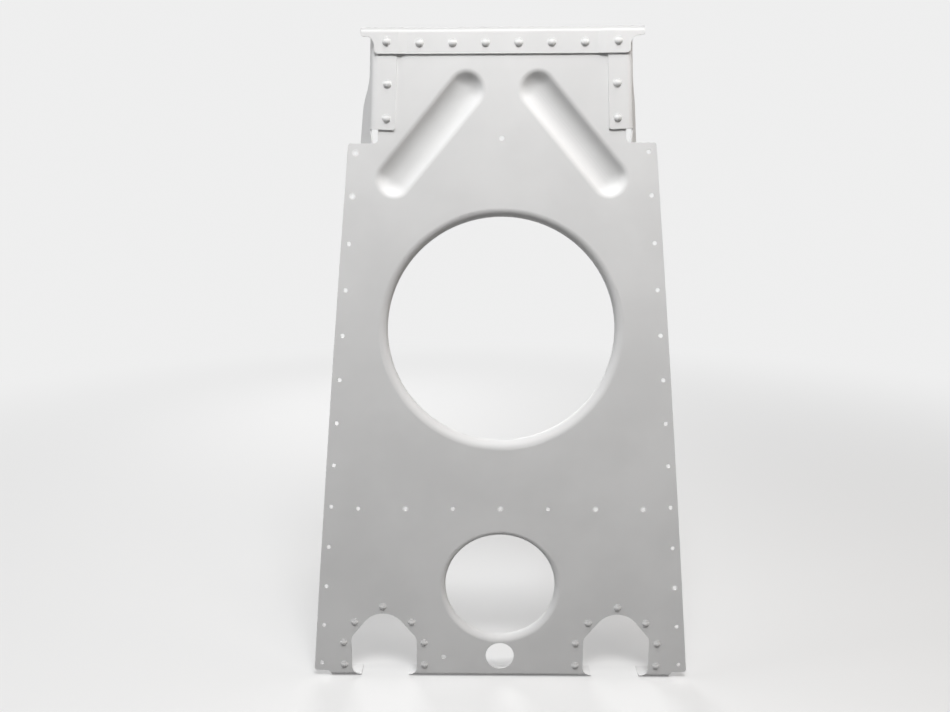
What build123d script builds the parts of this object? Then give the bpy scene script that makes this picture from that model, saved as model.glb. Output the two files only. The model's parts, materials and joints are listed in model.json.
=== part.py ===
from build123d import *
from math import atan, cos, radians, sin, tan
import os

# Stabilizer bulkhead: a pressed sheet web with a riveted cap, neck angles and doublers.
# +Z is up, +Y is aft and +X is to the right of someone who looks at the front face.
# The origin is the middle hole of the cross row, on the web's front face.
# Heights are given above the underside of the bottom flange. All lengths are in millimetres.

# Sheet
sheet_t = 1.0            # thickness of every sheet in the assembly
bend_inner_r = 3.0       # inside radius of the bottom and top bends
bend_outer_r = bend_inner_r + sheet_t

# Holes in the web, from the bottom flange upwards
cable_hole_height = 19.9
cable_hole_r = 11.8
lower_hole_rise = 5.2    # from the cable hole's edge to the lower flanged hole's edge
lower_hole_r = 45.1
lower_lip_r = 4.6        # radius of the rolled lip on the front face
lower_hole_depth = 6.2
cross_row_rise = 23.7    # from the lower flanged hole's edge to the cross row
main_hole_rise = 55.8    # from the cross row to the main hole's edge
main_hole_r = 87.4
main_lip_r = 6.5
main_hole_depth = 7.2

lower_hole_height = cable_hole_height + cable_hole_r + lower_hole_rise + lower_hole_r
row_height = lower_hole_height + lower_hole_r + cross_row_rise
main_hole_height = row_height + main_hole_rise + main_hole_r

# Web outline
shoulder_rise = 53.0     # from the main hole's edge to the shoulders
neck_height = 74.6       # from the shoulders to the web's top edge
neck_half = 86.4         # half width of the neck at its top
neck_taper = 3.0         # degrees that the neck's sides lean outwards, going down
neck_fillet_r = 3.0
shoulder_width = 21.6    # from the neck's foot out to the body's side
shoulder_corner_r = 2.0
base_half = 156.0        # half width of the body at its foot
side_bow = 1.0           # how far each side bulges past a straight line
foot_rise = 1.7          # from the bottom bend to the body's lower edge outside the flange
foot_corner_r = 2.5

shoulder_height = main_hole_height + main_hole_r + shoulder_rise
neck_foot_half = neck_half + neck_height * tan(radians(neck_taper))
shoulder_half = neck_foot_half + shoulder_width
neck_top = shoulder_height + neck_height
foot_height = bend_outer_r + foot_rise

# Bottom flange, with a sloping relief at each end
flange_depth = 15.5      # from the web's front face to the flange's aft edge
flange_inset = 14.3      # from the body's corner in to the flange's end
relief_run = 2.3         # from the flange's end out to the top of the slope
relief_height = 2.3      # where the slope meets the flange's end
relief_fillet_r = 2.0
flange_half = base_half - flange_inset
relief_half = flange_half + relief_run
bend_half = flange_half + relief_run * (bend_outer_r - relief_height) / (foot_height - relief_height)

# Rows of small holes
small_hole_r = 1.65
row_pitch = 38.1
side_pitch = 34.925
side_first_height = 12.7
side_top_inset = 6.6     # from the shoulder down to the uppermost side hole
side_edge_distance = 5.9

# Stiffening beads, pressed aft
bead_upper_x = 25.7
bead_upper_drop = 37.5   # from the web's top edge down to the upper end's centre
bead_lower_inset = 32.8  # from the shoulder's corner in to the lower end's centre
bead_lower_drop = 25.4   # from the shoulders down to the lower end's centre
bead_half = 14.5
bead_flat_half = 0.8     # half width of the flat along the bead's floor
bead_depth = 5.5
bead_lip_r = 5.5
bead_upper_height = neck_top - bead_upper_drop
bead_lower_x = shoulder_half - bead_lower_inset
bead_lower_height = shoulder_height - bead_lower_drop

# Arched cut-outs in the foot
arch_inset = 59.2        # from the body's corner in to the arch's centre line
arch_half = 27.4
arch_top = 58.2
arch_crown_r = 19.4
arch_flank_angle = 51.0  # slope of the flanks below level
arch_side_r = 9.0
arch_mouth_half = 20.1   # half width of the gap in the bottom flange
arch_mouth_height = 1.6
arch_x = base_half - arch_inset

# Doublers behind the arches
doubler_width = 12.7
doubler_setback = 0.5
doubler_foot = 5.0

# Pilot holes
neck_pilot_rise = 3.3    # from the shoulders up to the pilot hole in the neck
neck_pilot_r = 1.9
foot_pilot_gap = 9.7     # from the left doubler to the pilot hole in the foot
foot_pilot_height = 18.6
foot_pilot_r = 2.0
foot_pilot_x = foot_pilot_gap + doubler_width + arch_half - arch_x

# Rivets
shank_r = 1.59
rivet_clearance = 0.04   # between a shank and its hole
head_r = 3.1
head_height = 1.7
shop_head_r = 2.4
shop_head_height = 1.6
rivet_hole_r = shank_r + rivet_clearance

# Rivets around each arch
arch_rivet_edge = 6.35   # from the edge of an arch to its rivets
arch_flank_rivet_drop = 7.7
arch_upper_rivet_drop = 26.4
arch_lower_rivet_rise = 6.3

# Neck angles, which lean with the neck's sides. Their lengths run along or square to the side.
angle_leg = 12.3         # from the neck's side in to the leg's inner edge
angle_bend_gap = 0.5     # from the neck's side out to where the bend starts
angle_rise = 9.6         # from the shoulders up to the leg's lower edge
angle_corner_r = 2.0
left_flare = 25.5        # degrees that the side flange leans outwards
left_bend_r = 5.0        # inside radius
left_relief_turn = 28.0  # degrees of the bend that are left where it meets the shoulder
right_flare = 16.0
right_bend_r = 4.0
right_relief_turn = 46.0
angle_shallow_reach = 6.2
angle_shallow_drop = 24.0
angle_deep_reach = 20.0
angle_deep_drop = 52.0
angle_end_reach = 26.5
angle_tail = 12.4        # how far the side flange runs below the shoulders
angle_web_gap = 0.3
neck_rivet_inset = 6.0
neck_rivet_rise = 7.7    # from the leg's lower edge up to the lowest rivet
neck_rivet_pitch = 23.8
neck_rivet_count = 2

angle_inner = neck_half - angle_leg
angle_bend_start = neck_half + angle_bend_gap
angle_bottom = shoulder_height + angle_rise
angle_shallow_height = neck_top - angle_shallow_drop
angle_deep_height = neck_top - angle_deep_drop
angle_end_height = shoulder_height - angle_tail

# Cap
cap_bend_gap = 1.1       # from the web's top edge up to the cap's bend
cap_overhang = 4.4       # from the neck's side out to the end of the cap's leg
cap_leg_drop = 11.7      # from the ears' underside down to the leg's lower edge
cap_leg_corner_r = 3.0
cap_ear_length = 9.3
cap_ear_depth = 6.7
cap_ear_corner_r = 1.6
cap_ear_fillet_r = 5.8
cap_flange_depth = 16.0  # from the web's front face to the flange's aft edge
joggle_gap = 0.8         # from the neck angle's leg to the joggle
joggle_length = 5.8
cap_rivet_drop = 11.0
cap_rivet_end_rise = 0.8 # how much higher the outermost rivets sit than the others
cap_rivet_inset = 4.5    # from the neck's side in to the outermost rivet
cap_rivet_count = 8

cap_top = neck_top + cap_bend_gap + bend_outer_r
cap_leg_half = neck_half + cap_overhang
cap_ear_half = cap_leg_half + cap_ear_length
cap_ear_height = cap_top - cap_ear_depth
cap_bottom = cap_ear_height - cap_leg_drop
joggle_outer = angle_inner - joggle_gap
joggle_inner = joggle_outer - joggle_length
cap_rivet_half = neck_half - cap_rivet_inset
cap_rivet_pitch = 2 * cap_rivet_half / (cap_rivet_count - 1)

front = Plane(origin=(0, 0, -row_height), x_dir=(1, 0, 0), z_dir=(0, -1, 0))
back = front.offset(-sheet_t)
through = 4 * flange_depth


def side_x(height):
    """Half width of the body at a height, on its bowed side."""
    share = (height - foot_height) / (shoulder_height - foot_height)
    straight = base_half + (shoulder_half - base_half) * share
    return straight + 4 * side_bow * share * (1 - share)


def neck_x(height):
    """Half width of the neck at a height."""
    return neck_half + (neck_top - height) * tan(radians(neck_taper))


def row_level(height):
    """Height in the part's frame of a height above the bottom flange."""
    return height - row_height


def whole_pitches(length, pitch):
    """How many pitches fit in a length and leave at least half a pitch over."""
    return int(length / pitch - 0.5)


# Where each kind of hole and rivet sits, as x and height
side_top_height = shoulder_height - side_top_inset
side_pitches = whole_pitches(side_top_height - side_first_height, side_pitch)
side_heights = [side_first_height + side_pitch * i for i in range(side_pitches + 1)]
side_heights.append(side_top_height)
side_holes = [
    (side * (side_x(height) - side_edge_distance), height)
    for height in side_heights
    for side in (-1, 1)
]
row_pitches = whole_pitches(side_x(row_height), row_pitch)
row_holes = [(row_pitch * i, row_height) for i in range(-row_pitches, row_pitches + 1)]

flank = radians(arch_flank_angle)
arch_apex = arch_top + arch_crown_r * (1 / cos(flank) - 1)
arch_lower_rivet_height = doubler_foot + arch_lower_rivet_rise
arch_upper_rivet_height = arch_top - arch_upper_rivet_drop
arch_flank_rivet_height = arch_top - arch_flank_rivet_drop
flank_rivet_x = (
    (arch_apex - arch_flank_rivet_height) / tan(flank) + arch_rivet_edge / sin(flank)
)
side_rivet_x = arch_half + arch_rivet_edge
arch_rivets = [
    (-side_rivet_x, arch_lower_rivet_height),
    (-side_rivet_x, arch_upper_rivet_height),
    (-flank_rivet_x, arch_flank_rivet_height),
    (0, arch_top + arch_rivet_edge),
    (flank_rivet_x, arch_flank_rivet_height),
    (side_rivet_x, arch_upper_rivet_height),
    (side_rivet_x, arch_lower_rivet_height),
]
cap_rivet_height = cap_top - cap_rivet_drop
cap_end_height = cap_rivet_height + cap_rivet_end_rise
cap_rivets = [
    (-cap_rivet_half, cap_end_height),
    *(
        (cap_rivet_pitch * i - cap_rivet_half, cap_rivet_height)
        for i in range(1, cap_rivet_count - 1)
    ),
    (cap_rivet_half, cap_end_height),
]
neck_rivet_heights = [
    angle_bottom + neck_rivet_rise + neck_rivet_pitch * i for i in range(neck_rivet_count)
]
neck_rivets = [
    (side * (neck_x(height) - neck_rivet_inset), height)
    for height in neck_rivet_heights
    for side in (-1, 1)
]


def flanged_rim(height, hole_r, lip_r, depth):
    """Rolled lip around a lightening hole, from the flat sheet to its aft edge."""
    flat_r = hole_r + lip_r
    with BuildPart() as rim:
        with BuildSketch(Plane.XY.offset(row_level(height))):
            with BuildLine():
                Line((flat_r, 0), (flat_r, sheet_t))
                RadiusArc((flat_r, sheet_t), (hole_r + sheet_t, lip_r), lip_r - sheet_t)
                Polyline(
                    (hole_r + sheet_t, lip_r),
                    (hole_r + sheet_t, depth),
                    (hole_r, depth),
                    (hole_r, lip_r),
                )
                RadiusArc((hole_r, lip_r), (flat_r, 0), -lip_r)
            make_face()
        revolve(axis=Axis((0, 0, row_level(height)), (0, 1, 0)))
    return rim.part


def bead(side):
    """One pressed bead: a constant sheet section run straight, with round ends."""
    upper = Vector(side * bead_upper_x, 0, row_level(bead_upper_height))
    lower = Vector(side * bead_lower_x, 0, row_level(bead_lower_height))
    along = (lower - upper).normalized()
    across = Vector(0, 1, 0).cross(along)
    curve_half = bead_half - bead_flat_half
    slope = 2 * atan(bead_depth / curve_half)
    floor_r = curve_half / sin(slope) - bead_lip_r
    turn_x = bead_flat_half + floor_r * sin(slope)
    turn_y = bead_lip_r * (1 - cos(slope))
    back_turn_x = turn_x + sheet_t * sin(slope)
    back_turn_y = turn_y + sheet_t * cos(slope)

    with BuildSketch() as half_section:
        with BuildLine():
            Polyline(
                (bead_flat_half, bead_depth + sheet_t),
                (0, bead_depth + sheet_t),
                (0, bead_depth),
                (bead_flat_half, bead_depth),
            )
            RadiusArc((bead_flat_half, bead_depth), (turn_x, turn_y), floor_r)
            RadiusArc((turn_x, turn_y), (bead_half, 0), -bead_lip_r)
            Line((bead_half, 0), (bead_half, sheet_t))
            RadiusArc((bead_half, sheet_t), (back_turn_x, back_turn_y), bead_lip_r - sheet_t)
            RadiusArc(
                (back_turn_x, back_turn_y),
                (bead_flat_half, bead_depth + sheet_t),
                -(floor_r + sheet_t),
            )
        make_face()

    with BuildPart() as pressed:
        with BuildSketch(Plane(origin=upper, x_dir=across, z_dir=along)):
            add(half_section.sketch)
            mirror(half_section.sketch, about=Plane.YZ)
        extrude(amount=(lower - upper).length)
        with BuildSketch(Plane(origin=upper, x_dir=across, z_dir=along)):
            add(half_section.sketch)
        revolve(axis=Axis(upper, (0, 1, 0)), revolution_arc=180)
        with BuildSketch(Plane(origin=lower, x_dir=across, z_dir=along)):
            add(half_section.sketch)
        revolve(axis=Axis(lower, (0, -1, 0)), revolution_arc=180)
    return pressed.part


def arch_outline(grow, foot):
    """Tent-shaped arch with a round crown, drawn on its own centre line."""
    rise = grow / cos(flank)
    side = arch_half + grow
    eave = arch_apex + rise - side * tan(flank)
    with BuildSketch() as outline:
        with BuildLine():
            Polyline(
                (-side, foot),
                (-side, eave),
                (0, arch_apex + rise),
                (side, eave),
                (side, foot),
                close=True,
            )
        make_face()
        fillet(outline.vertices().sort_by(Axis.Y)[-1:], arch_crown_r + grow)
        fillet(outline.vertices().filter_by(lambda v: abs(v.Y - eave) < 0.01), arch_side_r + grow)
    return outline.sketch


def arch_opening():
    """The whole cut in the web: the arch, and its mouth through the bottom flange."""
    mouth_r = arch_half - arch_mouth_half
    foot = arch_mouth_height + mouth_r
    with BuildSketch() as opening:
        add(arch_outline(0, foot))
        with BuildLine():
            RadiusArc((-arch_half, foot), (-arch_mouth_half, arch_mouth_height), -mouth_r)
            Polyline(
                (-arch_mouth_half, arch_mouth_height),
                (-arch_mouth_half, -sheet_t),
                (arch_mouth_half, -sheet_t),
                (arch_mouth_half, arch_mouth_height),
            )
            RadiusArc((arch_mouth_half, arch_mouth_height), (arch_half, foot), -mouth_r)
            Line((arch_half, foot), (-arch_half, foot))
        make_face()
    return opening.sketch


def doubler(side):
    """U-shaped plate behind one arch."""
    with BuildPart() as plate:
        with BuildSketch(back):
            with Locations((side * arch_x, 0)):
                add(arch_outline(doubler_width, doubler_foot))
                add(arch_outline(doubler_setback, doubler_foot), mode=Mode.SUBTRACT)
                with Locations(arch_rivets):
                    Circle(rivet_hole_r, mode=Mode.SUBTRACT)
        extrude(amount=-sheet_t)
    return plate.part


def rivet(x, height, head_seat, grip):
    """Driven round-head rivet: head on the front face, shop head behind the stack."""
    dome_r = (head_r ** 2 + head_height ** 2) / (2 * head_height)
    with BuildPart() as driven:
        with BuildSketch(Plane.XY):
            with BuildLine():
                Line((0, -head_height), (0, grip + shop_head_height))
                Polyline(
                    (0, grip + shop_head_height),
                    (shop_head_r, grip + shop_head_height),
                    (shop_head_r, grip),
                    (shank_r, grip),
                    (shank_r, 0),
                    (head_r, 0),
                )
                RadiusArc((head_r, 0), (0, -head_height), dome_r)
            make_face()
        revolve(axis=Axis.Y)
    return driven.part.moved(Location((x, head_seat, row_level(height))))


def cap_section(face):
    """Section of the cap whose leg has its front face at the given y."""
    leg_back = face + sheet_t
    bend_y = face + bend_outer_r
    bend_level = row_level(cap_top - bend_outer_r)
    with BuildSketch() as section:
        with BuildLine():
            Polyline(
                (face, bend_level),
                (face, row_level(cap_bottom)),
                (leg_back, row_level(cap_bottom)),
                (leg_back, bend_level),
            )
            RadiusArc((leg_back, bend_level), (bend_y, row_level(cap_top - sheet_t)), bend_inner_r)
            Polyline(
                (bend_y, row_level(cap_top - sheet_t)),
                (cap_flange_depth, row_level(cap_top - sheet_t)),
                (cap_flange_depth, row_level(cap_top)),
                (bend_y, row_level(cap_top)),
            )
            RadiusArc((bend_y, row_level(cap_top)), (face, bend_level), -bend_outer_r)
        make_face()
    return section.sketch


def neck_angle(side, flare, bend_r, relief_turn):
    """Angle on one side of the neck: a flat leg, and a side flange that leans outwards."""
    lean = radians(flare)
    outer_r = bend_r + sheet_t
    tangent = Vector(sin(lean), cos(lean))
    normal = Vector(cos(lean), -sin(lean))
    centre = Vector(angle_bend_start, bend_r)
    inner_end = centre + normal * bend_r
    outer_end = centre + normal * outer_r
    run = tangent * (2 * angle_end_reach)
    length = neck_top - angle_end_height
    half_turn = radians(relief_turn) / 2
    relief_half_width = (bend_r + sheet_t / 2) * sin(half_turn)
    relief_plane = Plane(
        origin=(centre.X, centre.Y, row_level(0)),
        x_dir=(sin(lean + half_turn), cos(lean + half_turn), 0),
        z_dir=(cos(lean + half_turn), -sin(lean + half_turn), 0),
    )

    with BuildPart() as angle:
        with BuildSketch(Plane.XY.offset(row_level(angle_end_height))):
            with BuildLine():
                Polyline(
                    (angle_bend_start, 0),
                    (angle_inner, 0),
                    (angle_inner, -sheet_t),
                    (angle_bend_start, -sheet_t),
                )
                RadiusArc((angle_bend_start, -sheet_t), outer_end, -outer_r)
                Polyline(outer_end, outer_end + run, inner_end + run, inner_end)
                RadiusArc(inner_end, (angle_bend_start, 0), bend_r)
            make_face()
        extrude(amount=length)

        # Side view: the angle passes behind the shoulder, and the flange deepens downwards
        with BuildSketch(Plane.YZ) as side_view:
            with BuildLine():
                Polyline(
                    (angle_shallow_reach, row_level(neck_top)),
                    (-sheet_t, row_level(neck_top)),
                    (-sheet_t, row_level(shoulder_height + angle_web_gap)),
                    (sheet_t + angle_web_gap, row_level(shoulder_height + angle_web_gap)),
                    (sheet_t + angle_web_gap, row_level(angle_end_height)),
                    (angle_end_reach, row_level(angle_end_height)),
                    (angle_deep_reach, row_level(angle_deep_height)),
                )
                Spline(
                    (angle_deep_reach, row_level(angle_deep_height)),
                    (angle_shallow_reach, row_level(angle_shallow_height)),
                    tangents=[
                        (angle_deep_reach - angle_end_reach, angle_deep_height - angle_end_height),
                        (0, 1),
                    ],
                )
                Line(
                    (angle_shallow_reach, row_level(angle_shallow_height)),
                    (angle_shallow_reach, row_level(neck_top)),
                )
            make_face()
        extrude(amount=shoulder_half + angle_end_reach, mode=Mode.INTERSECT)

        # The leg stops above the shoulder, and a slope below it trims the bend
        with BuildSketch(relief_plane):
            with BuildLine():
                Polyline(
                    (-2 * angle_leg, angle_bottom),
                    (relief_half_width, angle_bottom),
                    (-relief_half_width, shoulder_height),
                    (-2 * angle_leg, shoulder_height),
                    close=True,
                )
            make_face()
        extrude(amount=2 * angle_leg, both=True, mode=Mode.SUBTRACT)

        corner = angle.edges().filter_by(Axis.Y).group_by(Axis.X)[0].sort_by(Axis.Z)[:1]
        fillet(corner, angle_corner_r)

    # The straight angle turns about the neck's top corner, then takes its rivet holes
    top_corner = (neck_half, 0, row_level(neck_top))
    with BuildPart() as leaning:
        add(angle.part.rotate(Axis(top_corner, (0, -1, 0)), neck_taper))
        with BuildSketch(front):
            with Locations([hole for hole in neck_rivets + cap_rivets[-1:] if hole[0] > 0]):
                Circle(rivet_hole_r)
        extrude(amount=sheet_t, mode=Mode.SUBTRACT)
    return leaning.part if side > 0 else mirror(leaning.part, about=Plane.YZ)


# The web: one blanked, pressed and bent sheet
main_rim = flanged_rim(main_hole_height, main_hole_r, main_lip_r, main_hole_depth)
lower_rim = flanged_rim(lower_hole_height, lower_hole_r, lower_lip_r, lower_hole_depth)
beads = {side: bead(side) for side in (-1, 1)}

with BuildPart() as web:
    with BuildSketch(front) as blank:
        with BuildLine():
            Polyline(
                (0, bend_outer_r),
                (0, neck_top),
                (neck_half, neck_top),
                (neck_foot_half, shoulder_height),
                (shoulder_half, shoulder_height),
            )
            SagittaArc((shoulder_half, shoulder_height), (base_half, foot_height), side_bow)
            Polyline(
                (base_half, foot_height),
                (relief_half, foot_height),
                (bend_half, bend_outer_r),
                (0, bend_outer_r),
            )
        make_face()
        fillet(blank.vertices().filter_by(lambda v: abs(v.X - base_half) < 0.01), foot_corner_r)
        fillet(blank.vertices().filter_by(lambda v: abs(v.X - relief_half) < 0.01), relief_fillet_r)
        shoulder = blank.vertices().filter_by(lambda v: abs(v.Y - shoulder_height) < 0.01)
        fillet(shoulder.sort_by(Axis.X)[-1:], shoulder_corner_r)
        fillet(
            blank.vertices().filter_by(
                lambda v: abs(v.X - neck_foot_half) < 0.01 and abs(v.Y - shoulder_height) < 0.01
            ),
            neck_fillet_r,
        )
        mirror(about=Plane.YZ)
    extrude(amount=-sheet_t)

    # Bottom bend and flange
    with BuildSketch(Plane.YZ.offset(-bend_half)):
        with BuildLine():
            Polyline(
                (sheet_t, row_level(bend_outer_r)),
                (0, row_level(bend_outer_r)),
            )
            RadiusArc(
                (0, row_level(bend_outer_r)), (bend_outer_r, row_level(0)), -bend_outer_r
            )
            Polyline(
                (bend_outer_r, row_level(0)),
                (flange_depth, row_level(0)),
                (flange_depth, row_level(sheet_t)),
                (bend_outer_r, row_level(sheet_t)),
            )
            RadiusArc(
                (bend_outer_r, row_level(sheet_t)), (sheet_t, row_level(bend_outer_r)), bend_inner_r
            )
        make_face()
    extrude(amount=2 * bend_half)
    with BuildSketch(front):
        with BuildLine():
            Polyline(
                (bend_half, bend_outer_r),
                (flange_half, relief_height),
                (flange_half, -sheet_t),
                (bend_half, -sheet_t),
                close=True,
            )
        make_face()
        mirror(about=Plane.YZ)
    extrude(amount=-through, mode=Mode.SUBTRACT)

    # Flanged holes: the flat sheet opens to each lip, then the lip is added
    with BuildSketch(front):
        with Locations((0, main_hole_height)):
            Circle(main_hole_r + main_lip_r)
        with Locations((0, lower_hole_height)):
            Circle(lower_hole_r + lower_lip_r)
    extrude(amount=-sheet_t, mode=Mode.SUBTRACT)
    add(main_rim)
    add(lower_rim)

    # Beads: the flat sheet opens to the lip of each, then the pressed shape is added
    with BuildSketch(front):
        for side in (-1, 1):
            upper = Vector(side * bead_upper_x, bead_upper_height)
            lower = Vector(side * bead_lower_x, bead_lower_height)
            SlotCenterPoint((upper + lower) / 2, lower, 2 * bead_half)
    extrude(amount=-sheet_t, mode=Mode.SUBTRACT)
    add(beads[-1])
    add(beads[1])

    # Arches and every plain hole
    with BuildSketch(front):
        with Locations((-arch_x, 0), (arch_x, 0)):
            add(arch_opening())
            with Locations(arch_rivets):
                Circle(rivet_hole_r)
    extrude(amount=-through, mode=Mode.SUBTRACT)
    with BuildSketch(front):
        with Locations(side_holes + row_holes):
            Circle(small_hole_r)
        with Locations(cap_rivets + neck_rivets):
            Circle(rivet_hole_r)
        with Locations((0, cable_hole_height)):
            Circle(cable_hole_r)
        with Locations((0, shoulder_height + neck_pilot_rise)):
            Circle(neck_pilot_r)
        with Locations((foot_pilot_x, foot_pilot_height)):
            Circle(foot_pilot_r)
    extrude(amount=-sheet_t, mode=Mode.SUBTRACT)

# The cap: an angle that steps over the neck angles at each end
with BuildPart() as top_cap:
    for inner, outer, inner_face, outer_face in (
        (0, joggle_inner, -sheet_t, -sheet_t),
        (joggle_inner, joggle_outer, -sheet_t, -2 * sheet_t),
        (joggle_outer, cap_ear_half, -2 * sheet_t, -2 * sheet_t),
    ):
        with BuildSketch(Plane.YZ.offset(inner)):
            add(cap_section(inner_face))
        with BuildSketch(Plane.YZ.offset(outer)):
            add(cap_section(outer_face))
        loft(ruled=True)
    mirror(about=Plane.YZ)
    with BuildSketch(front.offset(through)) as cap_outline:
        with BuildLine():
            Polyline(
                (0, cap_top),
                (cap_ear_half, cap_top),
                (cap_ear_half, cap_ear_height),
                (cap_leg_half, cap_ear_height),
                (cap_leg_half, cap_bottom),
                (0, cap_bottom),
                close=True,
            )
        make_face()
        for x, height, radius in (
            (cap_ear_half, cap_ear_height, cap_ear_corner_r),
            (cap_leg_half, cap_ear_height, cap_ear_fillet_r),
            (cap_leg_half, cap_bottom, cap_leg_corner_r),
        ):
            fillet(cap_outline.vertices().sort_by_distance((x, height))[:1], radius)
        mirror(about=Plane.YZ)
    extrude(amount=-2 * through, mode=Mode.INTERSECT)
    with BuildSketch(front):
        with Locations(cap_rivets):
            Circle(rivet_hole_r)
    extrude(amount=2 * sheet_t, mode=Mode.SUBTRACT)

# Names of the nodes and their shapes
web.part.label = "web"
top_cap.part.label = "top_cap"
pieces = [web.part, top_cap.part]

for name, side, flare, bend_r, relief_turn in (
    ("left", -1, left_flare, left_bend_r, left_relief_turn),
    ("right", 1, right_flare, right_bend_r, right_relief_turn),
):
    angle = neck_angle(side, flare, bend_r, relief_turn)
    angle.label = f"{name}_neck_angle"
    plate = doubler(side)
    plate.label = f"{name}_arch_doubler"
    pieces += [angle, plate]
    own_rivets = [(x, height) for x, height in neck_rivets if x * side > 0]
    for number, (x, height) in enumerate(own_rivets, start=1):
        pin = rivet(x, height, -sheet_t, 2 * sheet_t)
        pin.label = f"{name}_neck_rivet_{number}"
        pieces.append(pin)
    for number, (x, height) in enumerate(arch_rivets, start=1):
        pin = rivet(side * arch_x + x, height, 0, 2 * sheet_t)
        pin.label = f"{name}_arch_rivet_{number}"
        pieces.append(pin)

for number, (x, height) in enumerate(cap_rivets, start=1):
    layers = 2 if abs(x) > joggle_outer else 1
    pin = rivet(x, height, -layers * sheet_t, (layers + 1) * sheet_t)
    pin.label = f"cap_rivet_{number}"
    pieces.append(pin)

os.makedirs("parts", exist_ok=True)
for piece in pieces:
    export_step(piece, f"parts/{piece.label}.step")
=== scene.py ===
import json

import bpy
from mathutils import Matrix, Vector


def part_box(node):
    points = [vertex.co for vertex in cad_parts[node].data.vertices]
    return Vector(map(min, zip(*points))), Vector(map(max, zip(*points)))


# Stabilizer bulkhead on a pale floor. Lengths are in metres, in the part's frame.
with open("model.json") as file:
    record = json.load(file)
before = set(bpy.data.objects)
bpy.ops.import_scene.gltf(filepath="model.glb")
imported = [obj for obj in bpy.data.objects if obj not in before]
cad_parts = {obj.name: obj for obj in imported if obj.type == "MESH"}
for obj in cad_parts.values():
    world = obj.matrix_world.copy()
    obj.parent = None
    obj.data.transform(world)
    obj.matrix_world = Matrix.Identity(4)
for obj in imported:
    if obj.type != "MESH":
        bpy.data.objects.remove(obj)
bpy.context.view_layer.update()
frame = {"nodes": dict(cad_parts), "record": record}
nodes = frame["nodes"]
mounts = {mount["name"]: mount for mount in frame["record"]["mounts"]}

MM = 0.001
floor_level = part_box("web")[0].z

# The photograph's camera, from a fit to the centres of the holes
photo_width = 950                # pixels
focal_pixels = 778.567
sensor_width = 36                # mm
nearest_seen = 0.01
camera_place = Vector((-0.01091, -0.58550, 0.24952))
camera_right = Vector((0.999887, 0.014761, -0.002956))
camera_up = Vector((-0.000168, 0.207313, 0.978275))
camera_back = Vector((0.015053, -0.978163, 0.207292))

# Lamps, all facing one point: place, size, strength in watts and colour
lamp_target = Vector((0.0, 0.0, 0.10))
lamps = {
    "main": (Vector((0.04, -0.57, 1.08)), (0.4, 0.3), 10.4, (0.985, 0.995, 1.0)),
    "steep": (Vector((0.05, -0.30, 1.30)), (0.5, 0.10), 3.0, (1.0, 1.0, 1.0)),
    "warm": (Vector((0.40, -0.62, 1.00)), (0.4, 0.3), 1.2, (1.0, 0.86, 0.74)),
    "left": (Vector((-1.20, -0.14, 0.70)), (0.5, 0.5), 4.6, (1.0, 1.0, 1.0)),
    "right": (Vector((1.20, -0.14, 0.70)), (0.5, 0.5), 2.0, (1.0, 0.87, 0.76)),
    "back": (Vector((-0.30, 1.10, 0.45)), (0.6, 0.6), 6.5, (1.0, 1.0, 1.0)),
}
sky_strength = 0.02
ground_strength = 0.01
ground_end = -0.4                # Z of a direction, below which only the ground's light comes
sky_start = 0.6                  # Z of a direction, above which only the sky's light comes

# Floor and background. Round the object the floor is lit by the lamps and takes its shadow.
background_grey = 0.86
floor_grey = 0.80
floor_bounce_grey = 0.25         # the darker floor that only bounced light meets
floor_size = 40
floor_roughness = 0.9
fade_start = 0.2                 # distance from the middle where the floor starts to fade
fade_end = 1.5
least_fade = 0.35

# Paint, in linear colours
paint_tone = (0.80, 0.80, 0.80)
rivet_tone = (0.83, 0.83, 0.83)
bare_tone = (0.97, 0.97, 0.97)
# Painted shade: tones that upward faces are darkened towards, to hold down the lamps' light
# on them; deeper on the cap and the rivets
light_top_shade = (0.75, 0.75, 0.75)
deep_top_shade = (0.48, 0.48, 0.48)
darkest_share = 0.96             # share of the tone in the darkest clouds
lightest_share = 1.03            # share of the tone in the lightest clouds
top_shade_start = 0.15                # Z of a face's normal where the painted shade starts
top_shade_full = 0.65
cloud_scale = 14.0               # waves a metre
grain_scale = 900.0
noise_low = 0.3                  # most values of a noise lie between these two
noise_high = 0.7
sheet_roughness = 0.55
rivet_roughness = 0.50
roughness_spread = 0.06
specular_level = 0.3
grain_strength = 0.12
grain_height = 0.05 * MM
edge_radius = 0.25 * MM
edge_samples = 4

# Rings rubbed bare around some of the small holes
ring_inner = 2.2 * MM
ring_outer = 2.8 * MM


def new_material(name):
    """A node material, with its tree and its principled shader."""
    material = bpy.data.materials.new(name)
    material.use_nodes = True
    tree = material.node_tree
    return material, tree, tree.nodes["Principled BSDF"]


def link(tree, source, output, target, socket):
    """Joins an output of one node to an input of another."""
    tree.links.new(source.outputs[output], target.inputs[socket])


def noise(tree, coords, scale, detail, roughness):
    """A noise texture on the object's own coordinates."""
    texture = tree.nodes.new("ShaderNodeTexNoise")
    texture.inputs["Scale"].default_value = scale
    texture.inputs["Detail"].default_value = detail
    texture.inputs["Roughness"].default_value = roughness
    link(tree, coords, "Object", texture, "Vector")
    return texture


def remap(tree, source, output, low, high, to_low, to_high):
    """Maps a range of a value to another, smoothly and clamped."""
    node = tree.nodes.new("ShaderNodeMapRange")
    node.interpolation_type = "SMOOTHSTEP"
    for socket, value in (
        ("From Min", low), ("From Max", high), ("To Min", to_low), ("To Max", to_high),
    ):
        node.inputs[socket].default_value = value
    link(tree, source, output, node, "Value")
    return node


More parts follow.
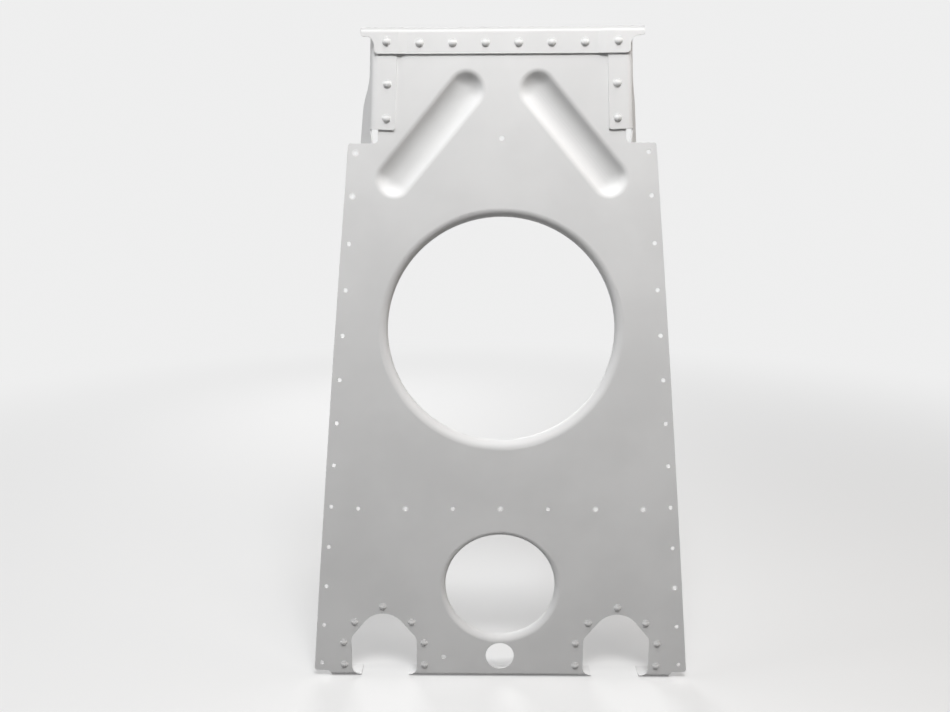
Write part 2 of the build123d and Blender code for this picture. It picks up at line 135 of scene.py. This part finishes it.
def seen_share(tree):
    """A value of 1 for what the camera sees, straight on or by reflection, and else 0."""
    path = tree.nodes.new("ShaderNodeLightPath")
    share = path
    output = "Is Camera Ray"
    for other in ("Is Glossy Ray", "Is Transmission Ray"):
        larger = tree.nodes.new("ShaderNodeMath")
        larger.operation = "MAXIMUM"
        link(tree, share, output, larger, 0)
        link(tree, path, other, larger, 1)
        share = larger
        output = "Value"
    return share


def near_holes(tree, coords, places, inner, outer):
    """A value of 1 up to the inner radius around each place, and 0 past the outer one."""
    nearest = None
    for x, z in places:
        away = tree.nodes.new("ShaderNodeVectorMath")
        away.operation = "DISTANCE"
        away.inputs[1].default_value = (x, 0, z)
        link(tree, coords, "Object", away, 0)
        if nearest is None:
            nearest = away
            continue
        smaller = tree.nodes.new("ShaderNodeMath")
        smaller.operation = "MINIMUM"
        link(tree, nearest, "Value", smaller, 0)
        link(tree, away, "Value", smaller, 1)
        nearest = smaller
    return remap(tree, nearest, "Value", inner, outer, 1.0, 0.0)


def mix_colour(tree, source, output, share, colour):
    """Lays a plain colour over another, in a share that varies over the surface."""
    node = tree.nodes.new("ShaderNodeMix")
    node.data_type = "RGBA"
    node.inputs["B"].default_value = (*colour, 1)
    link(tree, share, "Result", node, "Factor")
    link(tree, source, output, node, "A")
    return node


def paint(name, tone, top_shade, roughness, bare_rings=()):
    """Matte sprayed paint with painted shade on what faces up, rubbed bare around some holes.
    """
    material, tree, shader = new_material(name)
    coords = tree.nodes.new("ShaderNodeTexCoord")
    cloud = noise(tree, coords, cloud_scale, detail=3.0, roughness=0.5)
    grain = noise(tree, coords, grain_scale, detail=4.0, roughness=0.6)

    shade = tree.nodes.new("ShaderNodeMix")
    shade.data_type = "RGBA"
    shade.inputs["A"].default_value = (*(darkest_share * c for c in tone), 1)
    shade.inputs["B"].default_value = (*(lightest_share * c for c in tone), 1)
    cloud_share = remap(tree, cloud, "Fac", noise_low, noise_high, 0.0, 1.0)
    link(tree, cloud_share, "Result", shade, "Factor")

    # Painted shade: faces that look up are darkened towards the given tone
    facing = tree.nodes.new("ShaderNodeSeparateXYZ")
    link(tree, coords, "Normal", facing, "Vector")
    upward = remap(tree, facing, "Z", top_shade_start, top_shade_full, 0.0, 1.0)
    surface = mix_colour(tree, shade, "Result", upward, top_shade)
    if bare_rings:
        ring = near_holes(tree, coords, bare_rings, ring_inner, ring_outer)
        surface = mix_colour(tree, surface, "Result", ring, bare_tone)
    link(tree, surface, "Result", shader, "Base Color")

    smoothest = roughness - roughness_spread
    roughest = roughness + roughness_spread
    rough = remap(tree, grain, "Fac", noise_low, noise_high, smoothest, roughest)
    link(tree, rough, "Result", shader, "Roughness")
    shader.inputs["Specular IOR Level"].default_value = specular_level

    bump = tree.nodes.new("ShaderNodeBump")
    bump.inputs["Strength"].default_value = grain_strength
    bump.inputs["Distance"].default_value = grain_height
    link(tree, grain, "Fac", bump, "Height")
    edge = tree.nodes.new("ShaderNodeBevel")
    edge.samples = edge_samples
    edge.inputs["Radius"].default_value = edge_radius
    link(tree, edge, "Normal", bump, "Normal")
    link(tree, bump, "Normal", shader, "Normal")
    return material


def dress(name, material):
    """Gives a node of the frame its material."""
    mesh = nodes[name].data
    for index in range(max(1, len(mesh.materials))):
        if index < len(mesh.materials):
            nodes[name].material_slots[index].material = material
        else:
            mesh.materials.append(material)


def hole_of(mount_name, side):
    """Where a hole of a mount with two holes is, as x and z: side is -1 or 1."""
    mount = mounts[mount_name]
    half_spacing = mount["dims"]["spacing_x_mm"] / 2 * MM
    return side * half_spacing, mount["pos_m"][2]


# Holes with a bare ring: four of the cross row and three of the side rows
ring_places = [
    hole_of("cross_row_middle", -1),
    (0, 0),
    hole_of("cross_row_middle", 1),
    hole_of("cross_row_outer", 1),
    hole_of("side_row_03", 1),
    hole_of("side_row_12", -1),
    hole_of("side_row_13", -1),
]
# The cap and the rivets take the deeper painted shade on their upward faces
web_paint = paint("web_paint", paint_tone, light_top_shade, sheet_roughness, ring_places)
sheet_paint = paint("sheet_paint", paint_tone, light_top_shade, sheet_roughness)
cap_paint = paint("cap_paint", paint_tone, deep_top_shade, sheet_roughness)
rivet_paint = paint("rivet_paint", rivet_tone, deep_top_shade, rivet_roughness)
own_paint = {"web": web_paint, "top_cap": cap_paint}
for name in nodes:
    if "rivet" in name:
        dress(name, rivet_paint)
    else:
        dress(name, own_paint.get(name, sheet_paint))


def floor_and_backdrop():
    """A pale floor that fades into the background away from the object."""
    material, tree, shader = new_material("pale_floor")
    shader.inputs["Roughness"].default_value = floor_roughness
    bpy.ops.mesh.primitive_plane_add(size=floor_size, location=(0, 0, floor_level))
    floor = bpy.context.object
    floor.name = "floor"
    floor.data.materials.append(material)

    backdrop = tree.nodes.new("ShaderNodeEmission")
    backdrop.inputs["Color"].default_value = (background_grey,) * 3 + (1,)
    coords = tree.nodes.new("ShaderNodeTexCoord")
    length = tree.nodes.new("ShaderNodeVectorMath")
    length.operation = "LENGTH"
    link(tree, coords, "Object", length, 0)
    fade = remap(tree, length, "Value", fade_start, fade_end, least_fade, 1.0)
    seen = seen_share(tree)
    tone = tree.nodes.new("ShaderNodeMix")
    tone.data_type = "RGBA"
    tone.inputs["A"].default_value = (floor_bounce_grey,) * 3 + (1,)
    tone.inputs["B"].default_value = (floor_grey,) * 3 + (1,)
    link(tree, seen, "Value", tone, "Factor")
    link(tree, tone, "Result", shader, "Base Color")
    both = tree.nodes.new("ShaderNodeMath")
    both.operation = "MULTIPLY"
    link(tree, fade, "Result", both, 0)
    link(tree, seen, "Value", both, 1)
    mix = tree.nodes.new("ShaderNodeMixShader")
    link(tree, both, "Value", mix, 0)
    link(tree, shader, "BSDF", mix, 1)
    link(tree, backdrop, "Emission", mix, 2)
    link(tree, mix, "Shader", tree.nodes["Material Output"], "Surface")


def world_light():
    """Light from all round, weaker from below, with a pale background behind the object."""
    world = bpy.data.worlds.new("studio")
    bpy.context.scene.world = world
    world.use_nodes = True
    tree = world.node_tree
    sky = tree.nodes["Background"]
    coords = tree.nodes.new("ShaderNodeTexCoord")
    parts = tree.nodes.new("ShaderNodeSeparateXYZ")
    link(tree, coords, "Generated", parts, "Vector")
    level = remap(tree, parts, "Z", ground_end, sky_start, ground_strength, sky_strength)
    link(tree, level, "Result", sky, "Strength")
    seen = seen_share(tree)
    pale = tree.nodes.new("ShaderNodeBackground")
    pale.inputs["Color"].default_value = (background_grey,) * 3 + (1,)
    mix = tree.nodes.new("ShaderNodeMixShader")
    link(tree, seen, "Value", mix, 0)
    link(tree, sky, "Background", mix, 1)
    link(tree, pale, "Background", mix, 2)
    link(tree, mix, "Shader", tree.nodes["World Output"], "Surface")


def soft_lamp(name, place, size, strength, colour):
    """A rectangular lamp that faces the lamps' target."""
    data = bpy.data.lights.new(name, "AREA")
    data.shape = "RECTANGLE"
    data.size, data.size_y = size
    data.energy = strength
    data.color = colour
    lamp = bpy.data.objects.new(name, data)
    lamp.location = place
    lamp.rotation_mode = "QUATERNION"
    lamp.rotation_quaternion = (lamp_target - place).to_track_quat("-Z", "Y")
    bpy.context.scene.collection.objects.link(lamp)


def photo_camera():
    """A camera with the photograph's place, direction and lens."""
    data = bpy.data.cameras.new("camera")
    data.sensor_width = sensor_width
    data.lens = sensor_width * focal_pixels / photo_width
    data.clip_start = nearest_seen
    camera = bpy.data.objects.new("camera", data)
    axes = Matrix((camera_right, camera_up, camera_back)).transposed().to_4x4()
    camera.matrix_world = Matrix.Translation(camera_place) @ axes
    bpy.context.scene.collection.objects.link(camera)
    bpy.context.scene.camera = camera


floor_and_backdrop()
world_light()
for name, setting in lamps.items():
    soft_lamp(name, *setting)
photo_camera()
bpy.context.scene.view_settings.view_transform = "Standard"
